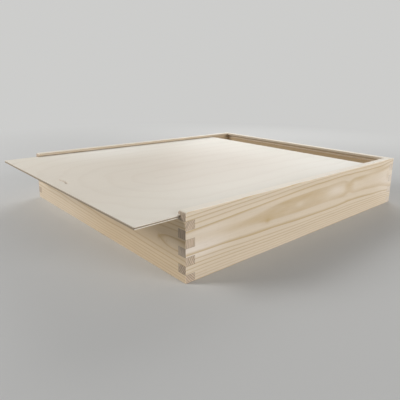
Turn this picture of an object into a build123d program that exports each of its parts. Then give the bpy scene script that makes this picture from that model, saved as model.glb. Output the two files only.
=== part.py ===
from build123d import *
import os

# A flat pine box with finger-jointed corners and a plywood lid that slides in grooves.
# Millimetres, +Z up. The origin is on the underside, in the middle of the four walls.
# The front wall faces -Y, and the lid is drawn out that way.

os.makedirs("parts", exist_ok=True)

# The four boards
box_width = 340.0  # over the side walls, X
box_depth = 374.0  # over the front and back walls, Y
wall_thickness = 10.0
finger_height = 8.0
finger_count = 8  # rows of fingers from the top edge to the underside
edge_ease = 0.8  # sanded round on the outer arrises
rim_ease = 0.6  # bevel round the inside of the mouth
nose_radius = 3.0  # front top corner of each side wall, above the groove's open end

# The lid and the groove it runs in
lid_thickness = 2.7
lid_play = 0.9  # groove's height over the lid's thickness
side_groove_depth = 3.4
back_groove_depth = 5.0
sill_drop = 1.3  # front wall's top edge below the groove's floor
lid_side_clearance = 1.5
lid_end_clearance = 1.0
lid_drawn_out = 43.4  # lid's front edge ahead of the front wall
lid_corner_radius = 1.0
lid_edge_ease = 0.3

# The finger pull, a shallow curved groove near the lid's front edge
pull_length = 20.0
pull_bow = 1.5
pull_depth = 1.2
pull_cutter_radius = 1.6
pull_setback = 14.0
pull_off_centre = -5.5  # towards the left wall

# The bottom, let into a rebate milled from below
bottom_thickness = 4.0
rebate_width = 5.0
rebate_corner_radius = 6.0
bottom_clearance = 0.3

# Worked out from the sizes above
box_height = finger_height * finger_count
inner_width = box_width - 2 * wall_thickness
inner_depth = box_depth - 2 * wall_thickness
front_height = box_height - finger_height
groove_floor = front_height + sill_drop
groove_height = lid_thickness + lid_play
lid_width = inner_width + 2 * (side_groove_depth - lid_side_clearance)
lid_length = box_depth - wall_thickness + back_groove_depth - lid_end_clearance
lid_front = -box_depth / 2 - lid_drawn_out
lid_top = groove_floor + lid_thickness
overrun = 1.0  # how far a cut runs past the wood


def standing(width, depth, bottom, top):
    """A block centred on the Z axis, from one height to another."""
    return Pos(0, 0, (bottom + top) / 2) * Box(width, depth, top - bottom)


def finger_blocks(rows, right_or_left=(-1, 1), front_or_back=(-1, 1)):
    """The corner blocks at the given rows of fingers, where row 0 is the top one."""
    block = Box(wall_thickness, wall_thickness, finger_height)
    across = (box_width - wall_thickness) / 2
    along = (box_depth - wall_thickness) / 2
    return [
        Pos(x * across, y * along, box_height - (row + 1 / 2) * finger_height) * block
        for x in right_or_left
        for y in front_or_back
        for row in rows
    ]


def sanded_envelope():
    """The outer shape of the glued-up box, which every wall is sanded back to."""
    block = standing(box_width, box_depth, 0, box_height)
    front_top = block.edges().filter_by(Axis.X).sort_by(Axis.Y)[:2].sort_by(Axis.Z)[-1]
    block = fillet(front_top, nose_radius)
    smooth = block.faces().filter_by(GeomType.CYLINDER).edges().filter_by(Axis.X)
    return fillet(block.edges() - smooth, edge_ease)


def mouth_bevel():
    """What a bevel cutter takes off round the inside of the mouth. It runs out at the front."""
    length = box_depth - wall_thickness + overrun
    middle = -(wall_thickness + overrun) / 2
    plan = Pos(0, middle, box_height - rim_ease) * Rectangle(inner_width, length)
    return extrude(plan, rim_ease, taper=-45)


def bottom_rebate():
    """The step milled into the inner edge of all four walls from below, round at the corners."""
    plan = RectangleRounded(
        inner_width + 2 * rebate_width, inner_depth + 2 * rebate_width, rebate_corner_radius
    )
    return extrude(plan, bottom_thickness)


def finish_wall(board):
    """Mill the rebate and bevel the mouth, then sand the wall back to the box's outer shape."""
    return (board - bottom_rebate() - mouth_bevel()) & sanded_envelope()


def side_wall():
    """The right wall. It owns the even rows of fingers, and its groove runs out at both ends."""
    across = (box_width - wall_thickness) / 2
    board = Pos(across, 0, 0) * standing(wall_thickness, inner_depth, 0, box_height)
    board += finger_blocks(range(0, finger_count, 2), right_or_left=(1,))
    groove = standing(
        inner_width + 2 * side_groove_depth,
        box_depth + 2 * overrun,
        groove_floor,
        groove_floor + groove_height,
    )
    return finish_wall(board - groove)


def front_wall():
    """The front wall. It owns the odd rows, and stops one row short for the lid to pass over."""
    along = -(box_depth - wall_thickness) / 2
    board = Pos(0, along, 0) * standing(inner_width, wall_thickness, 0, front_height)
    sill_edges = board.edges().filter_by(Axis.X).group_by(Axis.Z)[-1]
    board = fillet(sill_edges, edge_ease)
    board += finger_blocks(range(1, finger_count, 2), front_or_back=(-1,))
    return finish_wall(board)


def back_wall():
    """The back wall, full height between the side walls, with the groove for the lid's back edge."""
    along = (box_depth - wall_thickness) / 2
    board = Pos(0, along, 0) * standing(inner_width, wall_thickness, 0, box_height)
    board += finger_blocks(range(1, finger_count, 2), front_or_back=(1,))
    groove = standing(
        box_width,
        inner_depth + 2 * back_groove_depth,
        groove_floor,
        groove_floor + groove_height,
    )
    return finish_wall(board - groove)


def bottom_panel():
    """The plywood bottom, flush underneath and up against the rebate's step."""
    spread = 2 * (rebate_width - bottom_clearance)
    plan = RectangleRounded(
        inner_width + spread, inner_depth + spread, rebate_corner_radius - bottom_clearance
    )
    return extrude(plan, bottom_thickness)


def finger_pull():
    """A round-nosed cut along a shallow arc, bowed towards the back, with round ends."""
    height = lid_top + pull_cutter_radius - pull_depth
    start = Vector(pull_off_centre - pull_length / 2, lid_front + pull_setback, height)
    end = start + Vector(pull_length, 0, 0)
    path = ThreePointArc(start, (pull_off_centre, start.Y + pull_bow, height), end)
    section = Plane(start, z_dir=path % 0) * Circle(pull_cutter_radius)
    nose = Sphere(pull_cutter_radius)
    return [sweep(section, path=path), Pos(start) * nose, Pos(end) * nose]


def sliding_lid():
    """The plywood lid, lying on the groove's floor and drawn out over the front wall."""
    plan = Pos(0, lid_front + lid_length / 2, groove_floor) * RectangleRounded(
        lid_width, lid_length, lid_corner_radius
    )
    sheet = extrude(plan, lid_thickness)
    faces = sheet.faces().sort_by(Axis.Z)
    sheet = fillet(faces[0].edges() + faces[-1].edges(), lid_edge_ease)
    return sheet - finger_pull()


right_wall = side_wall()

pieces = {
    "front_wall": front_wall(),
    "back_wall": back_wall(),
    "left_wall": mirror(right_wall, about=Plane.YZ),
    "right_wall": right_wall,
    "bottom_panel": bottom_panel(),
    "sliding_lid": sliding_lid(),
}

for node, piece in pieces.items():
    export_step(piece, f"parts/{node}.step")
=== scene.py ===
"""The looks of a sliding lid box: pine walls, a plywood bottom and lid, and a plain studio.

The walls, the bottom and the lid are the frame's own solids. This script gives each its wood.
Metres, +Z up. The front wall faces -Y, and the lid is drawn out that way.
"""

import math

import bpy
import numpy as np
from bpy.props import FloatProperty, FloatVectorProperty, PointerProperty
from mathutils import Matrix, Vector


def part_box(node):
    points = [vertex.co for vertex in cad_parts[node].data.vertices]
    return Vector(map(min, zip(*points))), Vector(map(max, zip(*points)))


bl_info = {
    "name": "Sliding Lid Box",
    "version": (1, 0, 0),
    "blender": (4, 5, 0),
    "location": "View3D > Sidebar > Sliding Lid Box",
    "description": "Finishes a finger-jointed pine box with a plywood lid, and lights it",
    "category": "Object",
}

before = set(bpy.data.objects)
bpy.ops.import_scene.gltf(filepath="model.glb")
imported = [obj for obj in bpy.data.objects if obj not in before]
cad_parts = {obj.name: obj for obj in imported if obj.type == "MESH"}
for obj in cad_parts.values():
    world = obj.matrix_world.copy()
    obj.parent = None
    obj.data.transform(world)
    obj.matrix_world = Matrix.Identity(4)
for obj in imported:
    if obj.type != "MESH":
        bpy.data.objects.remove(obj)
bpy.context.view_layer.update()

MM = 0.001

# What the materials and the lamps need to know of the box's sizes
OUTER_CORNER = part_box("right_wall")[1]
HALF_WIDTH, HALF_DEPTH, HEIGHT = OUTER_CORNER
HALF_SIZE = Vector((HALF_WIDTH, HALF_DEPTH, HEIGHT / 2))
MIDDLE = Vector((0.0, 0.0, HEIGHT / 2))
WALL = HALF_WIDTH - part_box("right_wall")[0].x
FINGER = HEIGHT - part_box("front_wall")[1].z
LID_PLAY = 0.9 * MM  # the air over the lid in its groove
GROOVE_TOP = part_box("sliding_lid")[1].z + LID_PLAY


# ---------------------------------------------------------------------------
# Settings
# ---------------------------------------------------------------------------


def setting(kind, **unit):
    """A maker of properties of one kind. Each has its own name, description and default."""

    def make(name, description, default):
        return kind(name=name, description=description, default=default, **unit)

    return make


length = setting(FloatProperty, unit="LENGTH", precision=5)  # metres
number = setting(FloatProperty, precision=3)
share = setting(FloatProperty, min=0.0, max=1.0, subtype="FACTOR")  # 0 to 1
angle = setting(FloatProperty, subtype="ANGLE")  # radians
colour = setting(FloatVectorProperty, min=0.0, max=1.0, subtype="COLOR")  # scene-linear
point = setting(FloatVectorProperty, subtype="TRANSLATION", unit="LENGTH")  # metres


def board_grain(
    pith_height,
    pith_depth,
    ring_width,
    first_ring,
    taper,
    seed,
    back_taper=None,
    climb=0.0,
    back_climb=0.0,
    wide_ring=0.0,
    late_part=0.42,
    contrast=1.0,
    honey=0.0,
    end_tone=1.0,
    inner=0.6,
):
    """How one board was cut from its tree.

    Places on it run along it, up it and in from its outer face. Its middle is half way along.
    """
    back_taper = taper if back_taper is None else back_taper
    return {
        "pith_height": length(
            "Pith height", "Height of the tree's centre line at the middle", pith_height
        ),
        "pith_depth": length(
            "Pith depth", "How far that line lies behind the outer face", pith_depth
        ),
        "ring_width": length("Ring width", "Width of one year's growth", ring_width),
        "first_ring": number(
            "First ring", "Ring number on the outer face, level with the pith", first_ring
        ),
        "taper": number("Taper", "Rings gained for each metre along, before the middle", taper),
        "back_taper": number("Back taper", "The same past the middle", back_taper),
        "climb": number("Climb", "Rise of the pith for each metre along, before the middle", climb),
        "back_climb": number("Back climb", "The same past the middle", back_climb),
        "wide_ring": number(
            "Wide ring", "Extra width of one ring of the lower side, in rings", wide_ring
        ),
        "late_part": share(
            "Late part", "How much of each year's growth is dark, at least", late_part
        ),
        "contrast": number("Contrast", "How dark its lines are", contrast),
        "honey": share("Honey", "How far it yellows towards its right or back end", honey),
        "end_tone": number("End tone", "Brightness of its end grain", end_tone),
        # Inner: how strongly the inside faces under the lid take a browner, darker tint, which is
        # painted shade
        "inner": share("Inner", "How much browner it is inside the box", inner),
        "seed": number("Seed", "Any number: it picks the small irregularities", seed),
    }


class RightWallGrain(bpy.types.PropertyGroup):
    """A flat-sawn board with a broad tan flame along its middle"""

    __annotations__ = board_grain(
        pith_height=41.5 * MM,
        pith_depth=42 * MM,
        ring_width=1.7 * MM,
        first_ring=0.24,
        taper=-4.8,
        back_taper=-0.6,
        climb=0.0287,
        wide_ring=1.1,
        end_tone=0.86,
        seed=3.0,
    )


class LeftWallGrain(bpy.types.PropertyGroup):
    """A flat-sawn board whose flame lies low"""

    __annotations__ = board_grain(
        pith_height=22 * MM,
        pith_depth=48 * MM,
        ring_width=1.9 * MM,
        first_ring=1.4,
        taper=5.2,
        climb=-0.03,
        back_climb=-0.01,
        honey=0.3,
        seed=11.0,
    )


class FrontWallGrain(bpy.types.PropertyGroup):
    """A flat-sawn board with nearly straight lines and a flame that starts near its right end"""

    __annotations__ = board_grain(
        pith_height=33 * MM,
        pith_depth=38 * MM,
        ring_width=1.7 * MM,
        first_ring=9.05,
        taper=-8.0,
        late_part=0.36,
        contrast=1.2,
        honey=0.8,
        end_tone=1.05,
        seed=5.0,
    )


class BackWallGrain(bpy.types.PropertyGroup):
    """A board cut further from the pith, with straight lines"""

    __annotations__ = board_grain(
        pith_height=12 * MM,
        pith_depth=55 * MM,
        ring_width=1.8 * MM,
        first_ring=3.3,
        taper=4.4,
        climb=0.02,
        late_part=0.2,
        honey=0.4,
        inner=1.0,
        seed=7.0,
    )


class PineFinish(bpy.types.PropertyGroup):
    """The colours of bare sanded pine"""

    earlywood: colour("Earlywood", "Wood grown in spring", (0.74, 0.625, 0.485))
    latewood: colour("Latewood", "The hard dark line that ends each year", (0.53, 0.37, 0.165))
    sapwood: colour("Sapwood", "The whiter part of the spring wood", (0.83, 0.735, 0.635))
    # Painted light: faces that look up are paler and whiter
    planed: colour("Planed", "The paler top edges", (0.93, 0.858, 0.738))
    honey: colour("Honey", "Tint of the yellower wood", (0.96, 0.90, 0.79))
    # Painted shade: the tint that the inside faces under the lid take
    unsanded: colour("Unsanded", "Tint of the browner inner faces", (0.84, 0.73, 0.575))
    end_earlywood: colour("End earlywood", "Spring wood, cut across", (0.565, 0.45, 0.34))
    end_latewood: colour("End latewood", "The dark line, cut across", (0.30, 0.215, 0.145))
    planing: share("Planing", "How far the top edges take the planed colour", 0.9)
    streaks: share("Streaks", "Strength of the fine streaks along the fibres", 0.16)
    canals: share("Canals", "How dark the resin canals are", 0.35)
    seam_width: length("Seam width", "Reach of the hairline on each side of a joint", 0.16 * MM)
    seam_shade: share("Seam shade", "How dark that hairline is", 0.55)
    # The edges are lighter partly from real rubbing and partly as a painted highlight
    arris_reach: length("Arris reach", "How far the sanded edges look rubbed", 1.3 * MM)
    arris_gain: share("Arris gain", "How much lighter the rubbed edges are", 0.25)
    right_wall: PointerProperty(type=RightWallGrain)
    left_wall: PointerProperty(type=LeftWallGrain)
    front_wall: PointerProperty(type=FrontWallGrain)
    back_wall: PointerProperty(type=BackWallGrain)


class PlywoodFinish(bpy.types.PropertyGroup):
    """The colours and layers of thin bare plywood"""

    veneer: colour("Veneer", "The face veneer", (0.84, 0.77, 0.665))
    # Sapwood is also laid towards the back and the sides of the sheet, partly as painted sheen
    sapwood: colour("Sapwood", "The whiter part of the face veneer", (0.87, 0.815, 0.71))
    # The whitest patches are partly the veneer and partly painted sheen
    bleached: colour("Bleached", "The whitest patches of the veneer", (0.965, 0.925, 0.845))
    veneer_line: colour("Veneer line", "The faint lines in its figure", (0.66, 0.56, 0.45))
    core: colour("Core", "The middle layer, along its fibres", (0.68, 0.60, 0.49))
    end_grain: colour("End grain", "Any layer, cut across", (0.32, 0.25, 0.175))
    glue: colour("Glue", "The line between two layers", (0.22, 0.15, 0.09))
    lines: share("Lines", "Strength of the lines in the veneer's figure", 0.10)
    pores: share("Pores", "How dark the pores are", 0.25)
    veneer_thickness: length("Veneer thickness", "Each of the two face veneers", 0.8 * MM)
    glue_width: length("Glue width", "Reach of the glue line on each side", 0.05 * MM)
    arris_reach: length("Arris reach", "How far the sanded edges look rubbed", 0.6 * MM)
    arris_gain: share("Arris gain", "How much lighter the rubbed edges are", 0.04)


class Studio(bpy.types.PropertyGroup):
    """The floor, the lamps and the camera"""

    floor: colour("Floor", "The paper under the box", (0.66, 0.66, 0.65))
    backdrop: colour("Backdrop", "What the camera sees beyond the floor", (0.61, 0.61, 0.60))
    fade_start: length("Fade start", "Where the floor starts to turn into the backdrop", 0.36)
    fade_end: length("Fade end", "Where the floor has become the backdrop", 1.0)
    fill: number("Fill", "Brightness of the white surroundings, as light", 0.2)
    key_power: number("Key power", "Watts of the lamp at the front left", 13.2)
    key_place: point("Key place", "Where that lamp stands", (-0.76, -1.20, 0.74))
    key_width: length("Key width", "Side of that lamp", 0.45)
    side_power: number("Side power", "Watts of the lamp at the right", 14.6)
    side_place: point("Side place", "Where that lamp stands", (1.6, 0.35, 0.38))
    side_width: length("Side width", "Side of that lamp", 0.8)
    top_power: number("Top power", "Watts of the lamp over the back", 10.4)
    top_place: point("Top place", "Where that lamp hangs", (-0.69, 1.02, 0.52))
    top_width: length("Top width", "Side of that lamp", 1.0)
    camera_place: point("Camera place", "Where the camera stands", (0.4203, -0.3826, 0.1721))
    camera_heading: angle(
        "Camera heading",
        "How far it has gone round the box from the front, towards the right",
        math.radians(47.22),
    )
    camera_height: angle("Camera height", "How steeply it looks down", math.radians(13.81))
    camera_roll: angle("Camera roll", "How far it leans", math.radians(0.919))
    focal_length: number("Focal length", "Millimetres, on a sensor 36 mm wide", 36.83)
    shift_x: number("Shift across", "Share of the picture's width", -0.0462)
    shift_y: number("Shift up", "Share of the picture's width", -0.0566)


class SlidingLidBox(bpy.types.PropertyGroup):
    """All the settings of the box's looks"""

    pine: PointerProperty(type=PineFinish)
    plywood: PointerProperty(type=PlywoodFinish)
    studio: PointerProperty(type=Studio)


# ---------------------------------------------------------------------------
# Shader graphs
# ---------------------------------------------------------------------------

NOWHERE = (0.0, 0.0, 0.0)
WHITE = (1.0, 1.0, 1.0)

# The Mix node's sockets for colours, which come after those for numbers and vectors
MIX_FACTOR, MIX_BELOW, MIX_ABOVE = 0, 6, 7
MIX_RESULT = 2


class Field:
    """A value that varies over a surface. Arithmetic on it adds Math nodes to its graph."""

    def __init__(self, graph, socket):
        self.graph = graph
        self.socket = socket

    def math(self, operation, *others):
        """A Math node on this value and others."""
        return self.graph.field("ShaderNodeMath", (self, *others), operation=operation)

    def __add__(self, other):
        return self.math("ADD", other)

    def __sub__(self, other):
        return self.math("SUBTRACT", other)

    def __rsub__(self, other):
        return self.graph.field("ShaderNodeMath", (other, self), operation="SUBTRACT")

    def __mul__(self, other):
        return self.math("MULTIPLY", other)

    def __truediv__(self, other):
        return self.math("DIVIDE", other)

    def __abs__(self):
        return self.math("ABSOLUTE")

    __radd__ = __add__
    __rmul__ = __mul__


class Graph:
    """A node tree, with short calls that add nodes to it."""

    def __init__(self, tree):
        self.tree = tree

    def node(self, kind, inputs=(), **settings):
        """A new node. Its inputs come by position or by name: fields are linked, values set."""
        node = self.tree.nodes.new(kind)
        for name, value in settings.items():
            setattr(node, name, value)
        by_key = inputs if isinstance(inputs, dict) else dict(enumerate(inputs))
        for key, value in by_key.items():
            if isinstance(value, Field):
                self.tree.links.new(value.socket, node.inputs[key])
            else:
                node.inputs[key].default_value = value
        return node

    def field(self, kind, inputs=(), output=0, **settings):
        """One output of a new node."""
        return Field(self, self.node(kind, inputs, **settings).outputs[output])

    def vector(self, operation, *inputs, output=0):
        """Arithmetic on vectors or colours."""
        return self.field("ShaderNodeVectorMath", inputs, output, operation=operation)

    def split(self, vector):
        """The three parts of a vector."""
        node = self.node("ShaderNodeSeparateXYZ", (vector,))
        return [Field(self, socket) for socket in node.outputs]

    def join(self, x, y, z):
        """A vector from its three parts."""
        return self.field("ShaderNodeCombineXYZ", (x, y, z))

    def surface(self):
        """Where each point of a piece lies, and which way its face looks."""
        place = self.field("ShaderNodeTexCoord", output="Object")
        return place, self.field("ShaderNodeNewGeometry", output="True Normal")

    def ramp(self, value, start, end, low=0.0, high=1.0):
        """A smooth step from low at start to high at end."""
        inputs = {"Value": value, "From Min": start, "From Max": end, "To Min": low, "To Max": high}
        return self.field("ShaderNodeMapRange", inputs, interpolation_type="SMOOTHSTEP")

    def bell(self, value, reach):
        """1 where the value is 0, falling smoothly to 0 at reach on either side."""
        return self.ramp(abs(value), 0.0, reach, 1.0, 0.0)

    def noise(self, place, size, seed=0.0, detail=2.0):
        """Cloudy noise from 0 to 1. Its lumps have about the given size in mm along each axis."""
        scale = [1 / (each * MM) for each in size]
        place = self.field("ShaderNodeMapping", {"Vector": place, "Scale": scale})
        inputs = {"Vector": place, "W": seed, "Scale": 1.0, "Detail": detail}
        return self.field("ShaderNodeTexNoise", inputs, noise_dimensions="4D")

    def blend(self, amount, below, above):
        """The colour below, with as much of the colour above laid over it."""
        inputs = {MIX_FACTOR: amount, MIX_BELOW: opaque(below), MIX_ABOVE: opaque(above)}
        return self.field("ShaderNodeMix", inputs, output=MIX_RESULT, data_type="RGBA")

    def tint(self, amount, base, tint):
        """A colour multiplied by a tint, in part or in full."""
        return self.vector("MULTIPLY", base, self.blend(amount, WHITE, tint))

    def dim(self, base, factor):
        """A colour made darker or lighter by a factor."""
        inputs = {0: base, "Scale": factor}
        return self.field("ShaderNodeVectorMath", inputs, operation="SCALE")

    def vary(self, base, noise, strength):
        """A colour made up to that much darker where noise is 0 and lighter where it is 1."""
        return self.dim(base, between(1.0 - strength, 1.0 + strength, noise))


def opaque(value):
    """A colour setting with its alpha, or a field as it is."""
    return value if isinstance(value, Field) else (*value, 1.0)


def between(low, high, amount):
    """The value that lies so far from low to high, in a straight line."""
    return low + (high - low) * amount


def hypotenuse(a, b):
    """The long side of a right-angled triangle with these short sides."""
    return (a * a + b * b).math("SQRT")


def weighed(parts, weights):
    """The sum of some named parts, each times its weight."""
    return sum(parts[name] * weight for name, weight in weights.items())


def node_group(*outputs):
    """Turn a function into a shader node group, built on first use and placed with its own values.

    The function's keyword arguments are the group's inputs, with their defaults. It gets a field
    for each, and returns the fields to put out.
    """

    def decorate(wire):
        defaults = wire.__kwdefaults__

        def build():
            tree = bpy.data.node_groups.new(wire.__name__, "ShaderNodeTree")
            for name, default in defaults.items():
                kind = "NodeSocketVector" if isinstance(default, tuple) else "NodeSocketFloat"
                socket = tree.interface.new_socket(name=name, in_out="INPUT", socket_type=kind)
                socket.default_value = default
            for name in outputs:
                tree.interface.new_socket(
                    name=name, in_out="OUTPUT", socket_type="NodeSocketFloat"
                )
            graph = Graph(tree)
            entry = tree.nodes.new("NodeGroupInput")
            fields = {name: Field(graph, entry.outputs[name]) for name in defaults}
            graph.node("NodeGroupOutput", dict(zip(outputs, wire(graph, **fields))))
            return tree

        def place_group(graph, **values):
            tree = bpy.data.node_groups.get(wire.__name__) or build()
            node = graph.node("ShaderNodeGroup", values, node_tree=tree)
            return [Field(graph, node.outputs[name]) for name in outputs]

        place_group.__doc__ = wire.__doc__
        return place_group

    return decorate


@node_group("latewood", "bands")
def growth_rings(
    graph,
    *,
    place=NOWHERE,
    pith_height=0.04,
    pith_depth=0.05,
    ring_width=0.002,
    first_ring=0.0,
    taper=0.0,
    back_taper=0.0,
    climb=0.0,
    back_climb=0.0,
    wide_ring=0.0,
    late_part=0.2,
    contrast=1.0,
    bends=0.0,
    heart=0.0,
    seed=0.0,
):
    """Year rings round a pith that runs along the board, behind its outer face.

    The ring number is the distance to the pith, less the pith's depth, over the ring width. The
    taper, the wide ring, the bends and some noise are added to it. Inside the first whole ring
    the years are wider, and are dark as far as the heart says. Each other year goes from pale to
    dark and ends sharply. The bands follow the rings, and show where they are cut across.
    """
    along, height, depth = graph.split(place)
    before = along.math("MINIMUM", 0.0)
    past = along.math("MAXIMUM", 0.0)
    across = height - (pith_height + climb * before + back_climb * past)
    distance = hypotenuse(across, pith_depth - depth)

    wander_rings = 0.3
    wander = (graph.noise(place, (70, 9, 20), seed) - 0.5) * wander_rings
    lower_side = graph.ramp(across, -10 * MM, -24 * MM)
    past_front = graph.ramp(along, -180 * MM, -30 * MM)
    rings = (distance - pith_depth) / ring_width + first_ring
    rings = rings + taper * before + back_taper * past
    rings = rings - wide_ring * lower_side * past_front + wander + bends

    # Inside the first whole ring the years pass more slowly
    first_whole = 1.0
    inner_pace = 0.57
    outer_years = rings.math("MAXIMUM", first_whole) - first_whole
    inner_years = (rings.math("MINIMUM", first_whole) - first_whole) * inner_pace
    count = outer_years + inner_years
    year = count.math("FLOOR")
    season = count - year
    is_inner = year.math("LESS_THAN", -0.5)

    # No two years are alike, and the inner ones are mottled
    tone = graph.field("ShaderNodeTexWhiteNoise", {"W": year + seed}, noise_dimensions="1D")
    mottle = graph.noise(place, (32, 7, 12), seed + 5.0)
    tone_spread = 0.1
    mottle_spread = 0.5
    inner_part = heart + (mottle - 0.5) * mottle_spread
    dark_part = late_part + tone * tone_spread + inner_part * is_inner

    # A year is darkest a little before it ends. Near the heart the lines are stronger
    darkest = 0.92
    inner_darkest = 0.86
    rise = graph.ramp(season, 1.0 - dark_part, darkest)
    fall = graph.ramp(season, between(darkest, inner_darkest, is_inner), 1.0, 1.0, 0.0)
    near_heart = graph.ramp(year, 1.5, 4.5, low=0.8, high=0.55)
    outer_strength = near_heart * between(0.75, 1.0, tone)
    inner_strength = between(0.1, 0.72, mottle) * between(0.85, 1.45, heart)
    strength = between(outer_strength, inner_strength, is_inner)

    bands = graph.noise(graph.join(distance, height, along), (1.2, 12, 30), seed)
    return rise * fall * strength * contrast, graph.ramp(bands, 0.3, 0.7)


@node_group("streaks", "canals")
def fibres(graph, *, place=NOWHERE, seed=0.0):
    """Fine streaks along the board, in three widths, and the short dark dashes of resin canals."""
    broad = graph.noise(place, (140, 5, 5), seed)
    middle = graph.noise(place, (45, 1.1, 1.1), seed + 1.0)
    fine = graph.noise(place, (14, 0.35, 0.35), seed + 2.0)
    dashes = graph.noise(place, (7, 0.3, 0.3), seed + 3.0, detail=0.0)
    streaks = 0.35 * broad + 0.35 * middle + 0.3 * fine
    return streaks, graph.ramp(dashes, 0.70, 0.76)


@node_group("spot")
def soft_spot(graph, *, place=NOWHERE, along=0.0, up=0.0, reach_along=0.01, reach_up=0.01):
    """1 at one point of a face, falling smoothly to 0 on an oval round it."""
    first, second, _ = graph.split(place)
    distance = hypotenuse((first - along) / reach_along, (second - up) / reach_up)
    return (graph.bell(distance, 1.0),)


@node_group("arris")
def rubbed_arris(graph, *, place=NOWHERE, middle=NOWHERE, half_size=NOWHERE, reach=0.001):
    """1 along a block's edges: where it lies within reach of two of its outer planes at once."""
    offset = graph.vector("ABSOLUTE", graph.vector("SUBTRACT", place, middle))
    gaps = graph.split(graph.vector("SUBTRACT", half_size, offset))
    x, y, z = [graph.ramp(gap, 0.0, reach, 1.0, 0.0) for gap in gaps]
    return ((x * y).math("MAXIMUM", y * z).math("MAXIMUM", x * z),)


@node_group("seam")
def finger_seams(
    graph, *, place=NOWHERE, half_size=NOWHERE, wall=0.01, finger=0.01, reach=0.0001
):
    """1 on the hairlines of the finger joints: between two rows, and at the root of each finger."""
    x, y, z = graph.split(place)
    half_width, half_depth, half_height = graph.split(half_size)
    height = half_height * 2.0
    from_side = abs(x) - (half_width - wall)
    from_end = abs(y) - (half_depth - wall)
    in_side = from_side.math("GREATER_THAN", 0.0)
    in_end = from_end.math("GREATER_THAN", 0.0)

    row = z / finger
    nearest_line = row.math("ROUND")
    row_line = graph.bell((row - nearest_line) * finger, reach)
    over_first = nearest_line.math("GREATER_THAN", 0.5)
    under_last = z.math("LESS_THAN", height - 0.5 * finger)
    side_owns_row = row.math("FLOOR").math("MODULO", 2.0)

    between_rows = row_line * over_first * under_last * in_side * in_end
    over_front = y.math("LESS_THAN", 0.0) * z.math("GREATER_THAN", height - finger)
    side_roots = graph.bell(from_side, reach) * in_end * side_owns_row * (1.0 - over_front)
    end_roots = graph.bell(from_end, reach) * in_side * (1.0 - side_owns_row)
    return (between_rows.math("MAXIMUM", side_roots).math("MAXIMUM", end_roots),)


@node_group("core", "glue")
def plies(graph, *, height=0.0, thickness=0.003, veneer=0.001, glue_width=0.0001):
    """The layers of a three-ply sheet, by height over its underside."""
    half = thickness * 0.5
    over_core = abs(height - half) - (half - veneer)
    return over_core.math("LESS_THAN", 0.0), graph.bell(over_core, glue_width)


def spots(graph, place, table):
    """The sum of some soft spots: millimetres along, up, reach along, reach up, then strength."""
    total = 0.0
    for along, up, reach_along, reach_up, strength in table:
        (spot,) = soft_spot(
            graph,
            place=place,
            along=along * MM,
            up=up * MM,
            reach_along=reach_along * MM,
            reach_up=reach_up * MM,
        )
        total = spot * strength + total
    return total


def start_material(name):
    """A new material and its graph, emptied."""
    material = bpy.data.materials.new(name)
    material.use_nodes = True
    material.node_tree.nodes.clear()
    return material, Graph(material.node_tree)


def finish_wood(graph, base, roughness, relief):
    """A bare wood surface. The relief is in millimetres."""
    bump = graph.field("ShaderNodeBump", {"Height": relief, "Distance": MM, "Strength": 1.0})
    inputs = {"Base Color": base, "Roughness": roughness, "Normal": bump, "IOR": 1.42}
    surface = graph.field("ShaderNodeBsdfPrincipled", inputs)
    graph.node("ShaderNodeOutputMaterial", {"Surface": surface})


def dress(node, material):
    """Give one of the frame's solids its material."""
    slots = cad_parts[node].data.materials
    slots.clear()
    slots.append(material)


# ---------------------------------------------------------------------------
# Pine
# ---------------------------------------------------------------------------

# A row of each table below is a soft spot on a board's outer face, as spots() takes it

# Where a board's rings are drawn in towards the pith, by how many rings, or let out if negative
BENDS = {
    "right_wall": (
        (70, 42, 17, 22, 0.45),
        (-45, 40, 80, 20, -0.2),
        (60, 58, 60, 14, -0.25),
        (82, 22, 45, 10, 0.18),
        (-110, 22, 45, 9, -0.2),
        (145, 28, 40, 16, -0.25),
        (195, 42, 50, 60, -1.1),
    ),
    "left_wall": ((40, 20, 30, 30, -0.3), (-110, 40, 40, 30, 0.25)),
    "front_wall": (
        (-90, 30, 60, 30, 0.3),
        (30, 20, 40, 20, -0.2),
        (60, 8, 50, 8, 0.3),
        (151, 31, 25, 9, -0.5),
    ),
    "back_wall": ((20, 30, 60, 30, 0.3),),
}

# Where the innermost rings are darker, or paler if negative
HEART = {
    "right_wall": ((-48, 40, 88, 70, 0.7), (72, 44, 15, 60, 0.5), (-31, 40, 13, 5, -0.5)),
    "left_wall": ((60, 20, 60, 40, 0.4),),
    "front_wall": (),
    "back_wall": (),
}

# Where the spring wood is whiter. A strength past 1 is fully white well out from the middle
PALE = {
    "right_wall": (
        (-175, 28, 60, 13, 1.0),
        (-165, 45, 40, 7, 0.4),
        (43, 43, 26, 9, 0.5),
        (178, 34, 50, 40, 0.7),
    ),
    "left_wall": ((-160, 30, 50, 20, 0.5),),
    "front_wall": ((152, 31, 16, 7, 0.4),),
    "back_wall": ((170, 32, 30, 70, 3.0),),
}

# Where the board is tan or dark, across its lines
TAN = {
    "right_wall": (
        (-83, 33, 6, 4, 0.38),
        (-84, 34, 14, 7, 0.25),
        (-122, 38, 48, 6, 0.2),
        (-38, 47, 60, 5, 0.2),
        (-2, 43, 34, 13, 0.29),
        (15, 57, 130, 6, 0.18),
        (60, 33, 14, 5, 0.16),
        (95, 49, 34, 5, 0.36),
        (150, 54, 45, 6, 0.3),
        (174, 41, 8, 10, 0.22),
    ),
    "left_wall": (),
    "front_wall": ((131, 32, 4, 5, 0.5), (143, 31, 2, 2, 0.3)),
    "back_wall": (),
}

# What growth_rings takes from a board's own settings
RING_SETTINGS = (
    "pith_height", "pith_depth", "ring_width", "first_ring", "taper", "back_taper",
    "climb", "back_climb", "wide_ring", "late_part", "contrast", "seed",
)

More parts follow.
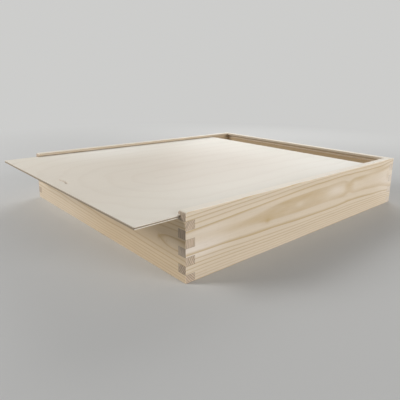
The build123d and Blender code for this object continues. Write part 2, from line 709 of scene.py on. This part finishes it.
# How far a face has to be turned to show end grain, or to be a top edge: from, fully.
# A turn is 0 for a face that lies across that direction, and 1 for one that looks along it
END_TURN = (0.45, 0.9)
TOP_TURN = (0.6, 0.95)

# Where a board starts to yellow and where it has done so, as shares of half the box's depth
HONEY_START, HONEY_END = -0.5, 0.3

# Where a board starts to take the painted shade of the inside faces, and where it does so fully, as
# shares of the wall
INSIDE_START, INSIDE_END = 0.3, 0.9

# End grain: how strongly the dark lines, the canals and the whiter wood show, and its tone
CUT_LINES, CUT_CANALS, CUT_PALE = 1.8, 0.2, 0.25
CUT_TONE = (0.84, 1.16)

# What each part of the figure adds to the roughness, and to the relief in millimetres
PINE_ROUGHNESS = {"plain": 0.56, "streaks": 0.2, "latewood": -0.1, "end": 0.1, "arris": -0.08}
PINE_RELIEF = {"streaks": 0.06, "latewood": 0.02, "canals": -0.03, "seam": -0.08}


def pine_figure(graph, wall, finish, coordinates, place):
    """What shows in one wall: its growth rings, its fibres, its glued joints and rubbed edges."""
    grain = getattr(finish, wall)
    latewood, bands = growth_rings(
        graph,
        place=place,
        bends=spots(graph, place, BENDS[wall]),
        heart=spots(graph, place, HEART[wall]),
        **{name: getattr(grain, name) for name in RING_SETTINGS},
    )
    streaks, canals = fibres(graph, place=place, seed=grain.seed)
    (seam,) = finger_seams(
        graph,
        place=coordinates,
        half_size=HALF_SIZE,
        wall=WALL,
        finger=FINGER,
        reach=finish.seam_width,
    )
    (arris,) = rubbed_arris(
        graph, place=coordinates, middle=MIDDLE, half_size=HALF_SIZE, reach=finish.arris_reach
    )
    return {
        "plain": 1.0,
        "latewood": latewood,
        "bands": bands,
        "streaks": streaks,
        "canals": canals,
        "seam": seam,
        "arris": arris,
        "pale": spots(graph, place, PALE[wall]),
        "tan": spots(graph, place, TAN[wall]),
    }


def pine_face(graph, finish, figure, yellowing, unsanded):
    """The colour of pine along its fibres."""
    face = graph.blend(figure["pale"], finish.earlywood, finish.sapwood)
    for darkness in (figure["latewood"], figure["canals"] * finish.canals, figure["tan"]):
        face = graph.blend(darkness, face, finish.latewood)
    face = graph.tint(yellowing, face, finish.honey)
    # Inside the box the wood is tinted browner and darker: painted shade
    return graph.tint(unsanded, face, finish.unsanded)


def pine_end_grain(graph, finish, figure, end_tone):
    """The colour of pine that is cut across."""
    darkness = figure["latewood"] * CUT_LINES + figure["canals"] * CUT_CANALS
    cut = graph.blend(darkness, finish.end_earlywood, finish.end_latewood)
    cut = graph.blend(figure["pale"] * CUT_PALE, cut, finish.sapwood)
    return graph.dim(cut, between(*CUT_TONE, figure["bands"]) * end_tone)


def pine(wall, finish, runs_along_y, outward):
    """Bare sanded pine for one wall, whose outer face looks along +X or +Y, or the other way.

    Outward is 1 or -1 for that. The axis is X for a wall that runs along Y, and Y otherwise.
    """
    grain = getattr(finish, wall)
    material, graph = start_material(f"pine_{wall}")
    coordinates, normal = graph.surface()
    x, y, z = graph.split(coordinates)
    normal_x, normal_y, normal_z = graph.split(normal)
    if runs_along_y:
        along, depth, to_end = y, HALF_WIDTH - x * outward, normal_y
    else:
        along, depth, to_end = x, HALF_DEPTH - y * outward, normal_x
    figure = pine_figure(graph, wall, finish, coordinates, graph.join(along, z, depth))
    figure["end"] = graph.ramp(abs(to_end), *END_TURN)

    yellowing = graph.ramp(along, HONEY_START * HALF_DEPTH, HONEY_END * HALF_DEPTH)
    # The inside faces below the lid's groove get that tint: painted shade under the lid
    inside = graph.ramp(depth, INSIDE_START * WALL, INSIDE_END * WALL)
    under_rim = graph.ramp(z, GROOVE_TOP, GROOVE_TOP - MM)
    unsanded = inside * under_rim * grain.inner
    face = pine_face(graph, finish, figure, yellowing * grain.honey, unsanded)
    cut = pine_end_grain(graph, finish, figure, grain.end_tone)

    # Faces that look up take the paler top colour: painted light on the tops of the walls
    top_edge = graph.ramp(normal_z, *TOP_TURN)
    wood = graph.blend(figure["end"], face, cut)
    wood = graph.blend(top_edge * finish.planing, wood, finish.planed)
    wood = graph.vary(wood, figure["streaks"], finish.streaks)
    # Lighter along the edges: partly rubbing, partly painted highlight
    wood = graph.dim(wood, 1.0 + figure["arris"] * finish.arris_gain)
    wood = graph.dim(wood, 1.0 - figure["seam"] * finish.seam_shade)
    finish_wood(graph, wood, weighed(figure, PINE_ROUGHNESS), weighed(figure, PINE_RELIEF))
    return material


# ---------------------------------------------------------------------------
# Plywood
# ---------------------------------------------------------------------------

# The flame in the face veneer: the point it closes round, the gap between two of its lines
# across and along the sheet, and how many gaps they wander
FLAME_X, FLAME_Y = 42 * MM, -130 * MM
FLAME_GAP_X, FLAME_GAP_Y = 28.9 * MM, 25 * MM
FLAME_WANDER = 1.6

# Where the face veneer is warmer and darker, and where it is whiter: partly its figure, partly
# painted shade over the middle and painted sheen at the back and the left. The spots are on its
# face, X then Y
WARM = ((8, -50, 130, 160, 0.54),)
BLEACHED_AND_SHEEN = ((140, 120, 90, 130, 0.6), (-150, -90, 90, 130, 0.85), (-155, 90, 90, 120, 0.4))

# How much darker or lighter the streaks and clouds make the face, the core and cut ends
FACE_STREAKS, FACE_CLOUDS, CORE_STREAKS, CUT_STREAKS = 0.05, 0.03, 0.15, 0.2

# How far a face has to be turned to show cut fibres: from, fully
PLY_END_TURN = (0.4, 0.9)

# The glue line is fainter where a face looks up: its shade falls over this range of turns
GLUE_TURN, GLUE_SHADE = (0.1, 0.7), (0.8, 0.15)

# Between these heights over the underside the veneers' cut ends get paler, by this share: a painted
# highlight on the upper veneer's cut ends
PALER_FROM, PALER_TO = 1.4 * MM, 2.2 * MM
PALER_BY = 0.7

# What each part of the figure adds to the roughness, and to the relief in millimetres
PLY_ROUGHNESS = {"plain": 0.5, "streaks": 0.2, "core": 0.1, "core_end": 0.1}
PLY_RELIEF = {"streaks": 0.03, "pores": -0.02, "glue": -0.03}


def veneer_lines(graph, coordinates):
    """The lines of a wide flame. They close at the front and run on to the back."""
    x, y, _ = graph.split(coordinates)
    bend = graph.noise(coordinates, (60, 160, 60), 1.0)
    wide = (x - FLAME_X) / FLAME_GAP_X
    deep = (y - FLAME_Y).math("MINIMUM", 0.0) / FLAME_GAP_Y
    season = (hypotenuse(wide, deep) + bend * FLAME_WANDER).math("FRACT")
    line_start, line_middle = 0.55, 0.9
    rise = graph.ramp(season, line_start, line_middle)
    return rise * graph.ramp(season, line_middle, 1.0, 1.0, 0.0)


def veneer_face(graph, finish, coordinates, streaks, pores):
    """The colour of the face veneer along its fibres."""
    x, y, _ = graph.split(coordinates)
    clouds = graph.noise(coordinates, (35, 90, 35), 4.0)
    # Paler towards the back and the sides: partly sapwood, partly painted sheen
    sheen_to_back = graph.ramp(y, -20 * MM, 150 * MM)
    sheen_to_sides = graph.ramp(abs(x), 50 * MM, 150 * MM)
    face = graph.blend(sheen_to_back + 0.7 * sheen_to_sides, finish.veneer, finish.sapwood)
    face = graph.blend(spots(graph, coordinates, BLEACHED_AND_SHEEN), face, finish.bleached)
    cloudy = graph.ramp(clouds, 0.25, 0.75, low=0.4)
    warm = spots(graph, coordinates, WARM) * cloudy
    lines = veneer_lines(graph, coordinates) * finish.lines
    face = graph.blend(warm + lines + pores * finish.pores, face, finish.veneer_line)
    return graph.vary(graph.vary(face, streaks, FACE_STREAKS), clouds, FACE_CLOUDS)


def plywood(name, node, finish):
    """Thin bare plywood: face veneers with fibres along Y, and a core with fibres along X."""
    material, graph = start_material(name)
    low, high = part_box(node)
    coordinates, normal = graph.surface()
    x, y, z = graph.split(coordinates)
    normal_x, normal_y, normal_z = graph.split(normal)
    height = z - low.z
    core, glue = plies(
        graph,
        height=height,
        thickness=high.z - low.z,
        veneer=finish.veneer_thickness,
        glue_width=finish.glue_width,
    )
    streaks, pores = fibres(graph, place=graph.join(y, x, z), seed=21.0)
    core_streaks, _ = fibres(graph, place=coordinates, seed=23.0)
    (arris,) = rubbed_arris(
        graph,
        place=coordinates,
        middle=(low + high) / 2,
        half_size=(high - low) / 2,
        reach=finish.arris_reach,
    )
    figure = {"plain": 1.0, "streaks": streaks, "pores": pores, "core": core, "glue": glue}

    face = veneer_face(graph, finish, coordinates, streaks, pores)
    layer = graph.blend(core, face, graph.vary(finish.core, core_streaks, CORE_STREAKS))
    # The upper veneer's cut ends are paler: painted highlight along the top of the edge
    paler = graph.ramp(height, PALER_FROM, PALER_TO) * PALER_BY
    veneer_end = graph.ramp(abs(normal_y), *PLY_END_TURN) * (1.0 - paler)
    figure["core_end"] = graph.ramp(abs(normal_x), *PLY_END_TURN) * core
    cut = graph.vary(finish.end_grain, streaks, CUT_STREAKS)
    wood = graph.blend(veneer_end + figure["core_end"], layer, cut)
    glue_shows = graph.ramp(normal_z, *GLUE_TURN, *GLUE_SHADE)
    wood = graph.blend(glue * glue_shows, wood, finish.glue)
    # Lighter along the edges: partly rubbing, partly painted highlight
    wood = graph.dim(wood, 1.0 + arris * finish.arris_gain)
    finish_wood(graph, wood, weighed(figure, PLY_ROUGHNESS), weighed(figure, PLY_RELIEF))
    return material


# ---------------------------------------------------------------------------
# Studio
# ---------------------------------------------------------------------------


def seen_directly(graph):
    """1 for what the camera sees straight, in a reflection or through glass."""
    path = graph.node("ShaderNodeLightPath")
    names = [f"Is {kind} Ray" for kind in ("Camera", "Glossy", "Transmission")]
    straight, reflected, through = [Field(graph, path.outputs[name]) for name in names]
    return straight.math("MAXIMUM", reflected).math("MAXIMUM", through)


def floor_material(studio):
    """Pale paper that keeps shadows near the box and turns into the backdrop further out."""
    material, graph = start_material("studio_floor")
    coordinates = graph.field("ShaderNodeTexCoord", output="Object")
    reach = graph.vector("LENGTH", coordinates, output="Value")
    matt = {"Base Color": opaque(studio.floor), "Roughness": 1.0, "IOR": 1.03}
    paper = graph.field("ShaderNodeBsdfPrincipled", matt)
    glow = {"Color": opaque(studio.backdrop), "Strength": 1.0}
    backdrop = graph.field("ShaderNodeEmission", glow)
    faded = graph.ramp(reach, studio.fade_start, studio.fade_end) * seen_directly(graph)
    mixed = graph.field("ShaderNodeMixShader", (faded, paper, backdrop))
    graph.node("ShaderNodeOutputMaterial", {"Surface": mixed})
    return material


def floor_disc(radius, rings, sectors):
    """A flat disc of rings round its middle point.

    Ring i of n has the radius r = R (i / n) squared, and its points lie at (r cos a, r sin a, 0)
    for evenly spaced angles a.
    """
    steps = radius * (np.arange(1, rings + 1) / rings) ** 2
    angles = np.arange(sectors) * (2 * math.pi / sectors)
    r, a = np.meshgrid(steps, angles, indexing="ij")
    grid = np.stack([r * np.cos(a), r * np.sin(a), np.zeros_like(r)], axis=-1).reshape(-1, 3)
    points = np.vstack([grid, [[0.0, 0.0, 0.0]]])
    here = np.arange(sectors)
    after = (here + 1) % sectors
    centre = np.stack([np.full(sectors, len(grid)), here, after], axis=-1)
    first = np.arange(rings - 1)[:, None] * sectors
    second = first + sectors
    quads = np.stack([first + here, second + here, second + after, first + after], axis=-1)
    mesh = bpy.data.meshes.new("studio_floor")
    mesh.from_pydata(points.tolist(), [], quads.reshape(-1, 4).tolist() + centre.tolist())
    return mesh


def lamp(name, power, place, width):
    """A square soft lamp that faces the middle of the box. The camera doesn't see it."""
    light = bpy.data.lights.new(name, "AREA")
    light.energy = power
    light.size = width
    holder = bpy.data.objects.new(name, light)
    holder.location = place
    holder.rotation_euler = (MIDDLE - Vector(place)).to_track_quat("-Z", "Y").to_euler()
    holder.visible_camera = False
    bpy.context.scene.collection.objects.link(holder)


def surroundings(studio):
    """A white room as light, and a pale backdrop as seen."""
    world = bpy.data.worlds.new("studio")
    world.use_nodes = True
    world.node_tree.nodes.clear()
    graph = Graph(world.node_tree)
    room = {"Color": opaque(WHITE), "Strength": studio.fill}
    backdrop = {"Color": opaque(studio.backdrop), "Strength": 1.0}
    light, wall = [graph.field("ShaderNodeBackground", each) for each in (room, backdrop)]
    mixed = graph.field("ShaderNodeMixShader", (seen_directly(graph), light, wall))
    graph.node("ShaderNodeOutputWorld", {"Surface": mixed})
    bpy.context.scene.world = world


def camera(studio):
    """A camera that has gone round by its heading and up by its height, and leans by its roll."""
    heading, height, roll = studio.camera_heading, studio.camera_height, studio.camera_roll
    level = math.cos(height)
    back = Vector((math.sin(heading) * level, -math.cos(heading) * level, math.sin(height)))
    right = Vector((0.0, 0.0, 1.0)).cross(back).normalized()
    up = back.cross(right)
    axes = Matrix((right, up, back)).transposed() @ Matrix.Rotation(roll, 3, "Z")
    data = bpy.data.cameras.new("studio_camera")
    data.sensor_width = 36.0
    data.lens = studio.focal_length
    data.shift_x = studio.shift_x
    data.shift_y = studio.shift_y
    data.clip_start = 0.01
    holder = bpy.data.objects.new("studio_camera", data)
    holder.matrix_world = Matrix.Translation(studio.camera_place) @ axes.to_4x4()
    bpy.context.scene.collection.objects.link(holder)
    bpy.context.scene.camera = holder


# ---------------------------------------------------------------------------
# Operators
# ---------------------------------------------------------------------------


class BoxOperator(bpy.types.Operator):
    """What the operators have in common"""

    bl_options = {"REGISTER", "UNDO"}


class StudioStage(BoxOperator):
    """Set up the floor, the lamps, the surroundings and the camera"""

    bl_idname = "sliding_lid_box.stage"
    bl_label = "Studio"

    def execute(self, context):
        studio = context.scene.sliding_lid_box.studio
        disc = floor_disc(radius=6.0, rings=24, sectors=96)
        floor = bpy.data.objects.new("studio_floor", disc)
        floor.data.materials.append(floor_material(studio))
        context.scene.collection.objects.link(floor)
        lamp("key_lamp", studio.key_power, studio.key_place, studio.key_width)
        lamp("side_lamp", studio.side_power, studio.side_place, studio.side_width)
        lamp("top_lamp", studio.top_power, studio.top_place, studio.top_width)
        surroundings(studio)
        camera(studio)
        context.scene.view_settings.view_transform = "Standard"
        return {"FINISHED"}


class SideWalls(BoxOperator):
    """Give the left and right walls their pine"""

    bl_idname = "sliding_lid_box.side_walls"
    bl_label = "Side Walls"

    def execute(self, context):
        finish = context.scene.sliding_lid_box.pine
        for wall, outward in (("right_wall", 1.0), ("left_wall", -1.0)):
            dress(wall, pine(wall, finish, runs_along_y=True, outward=outward))
        return {"FINISHED"}


class EndWalls(BoxOperator):
    """Give the front and back walls their pine"""

    bl_idname = "sliding_lid_box.end_walls"
    bl_label = "Front and Back Walls"

    def execute(self, context):
        finish = context.scene.sliding_lid_box.pine
        for wall, outward in (("front_wall", -1.0), ("back_wall", 1.0)):
            dress(wall, pine(wall, finish, runs_along_y=False, outward=outward))
        return {"FINISHED"}


class BottomPanel(BoxOperator):
    """Give the bottom its plywood"""

    bl_idname = "sliding_lid_box.bottom_panel"
    bl_label = "Bottom Panel"

    def execute(self, context):
        finish = context.scene.sliding_lid_box.plywood
        dress("bottom_panel", plywood("plywood_bottom", "bottom_panel", finish))
        return {"FINISHED"}


class SlidingLid(BoxOperator):
    """Give the lid its plywood"""

    bl_idname = "sliding_lid_box.sliding_lid"
    bl_label = "Sliding Lid"

    def execute(self, context):
        finish = context.scene.sliding_lid_box.plywood
        dress("sliding_lid", plywood("plywood_lid", "sliding_lid", finish))
        return {"FINISHED"}


OPERATORS = (StudioStage, SideWalls, EndWalls, BottomPanel, SlidingLid)


def list_settings(layout, title, group):
    """Lay out a group's settings in a box, and the groups inside it in boxes of their own."""
    box = layout.box()
    box.label(text=title)
    for name, each in group.bl_rna.properties.items():
        if name in ("rna_type", "name"):
            continue
        if each.type == "POINTER":
            list_settings(box, name.replace("_", " ").capitalize(), getattr(group, name))
        else:
            box.prop(group, name)


class BoxSidebar(bpy.types.Panel):
    """Lists the operators and the box's settings"""

    bl_idname = "VIEW3D_PT_sliding_lid_box"
    bl_label = "Sliding Lid Box"
    bl_space_type = "VIEW_3D"
    bl_region_type = "UI"
    bl_category = "Sliding Lid Box"

    def draw(self, context):
        for operator in OPERATORS:
            self.layout.operator(operator.bl_idname)
        list_settings(self.layout, "Settings", context.scene.sliding_lid_box)


CLASSES = (
    RightWallGrain,
    LeftWallGrain,
    FrontWallGrain,
    BackWallGrain,
    PineFinish,
    PlywoodFinish,
    Studio,
    SlidingLidBox,
    *OPERATORS,
    BoxSidebar,
)


def register():
    """Make the classes and the settings known to Blender."""
    for each in CLASSES:
        bpy.utils.register_class(each)
    bpy.types.Scene.sliding_lid_box = PointerProperty(type=SlidingLidBox)


def unregister():
    """Take them out again."""
    del bpy.types.Scene.sliding_lid_box
    for each in reversed(CLASSES):
        bpy.utils.unregister_class(each)


def main():
    """Finish the box, set up the studio and write down both models' sizes."""
    register()
    for operator in OPERATORS:
        group, name = operator.bl_idname.split(".")
        getattr(getattr(bpy.ops, group), name)()


if __name__ == "__main__":
    main()
